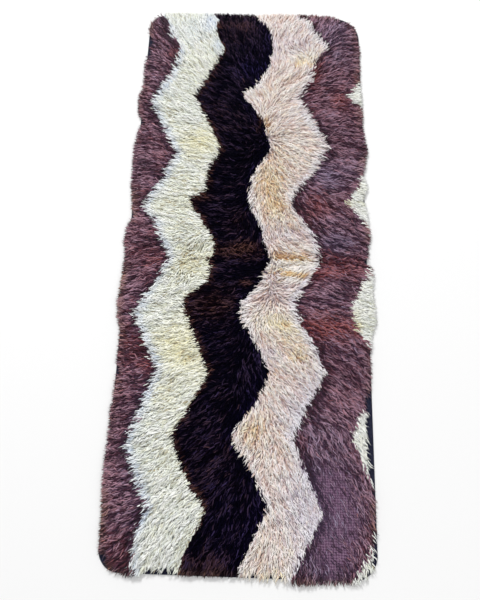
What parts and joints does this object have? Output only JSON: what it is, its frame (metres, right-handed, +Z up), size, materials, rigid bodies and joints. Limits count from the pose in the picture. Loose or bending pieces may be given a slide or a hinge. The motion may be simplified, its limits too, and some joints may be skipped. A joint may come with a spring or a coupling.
{
  "type": "plush bedside rug",
  "caption": "Long plush bedside rug with round corners, lying flat: lumpy pile in side-by-side zigzag stripes, ragged locks at the rim and a thin dark felt backing.",
  "frame": {"origin": "middle of the rug's underside, on the floor", "axes": "+Z up out of the pile, +Y along the rug's length towards its far end, +X across it towards the narrow cream edge"},
  "size_m": [0.6297, 1.5113, 0.022],
  "materials": {
    "backing": "dark needled felt",
    "plush_cream": "long plush pile, cream",
    "plush_mauve": "long plush pile, mauve",
    "plush_black": "long plush pile, black",
    "plush_beige": "long plush pile, beige"
  },
  "bodies": {
    "root": {"backing": "backing", "pile": "plush_cream"}
  },
  "joints": []
}
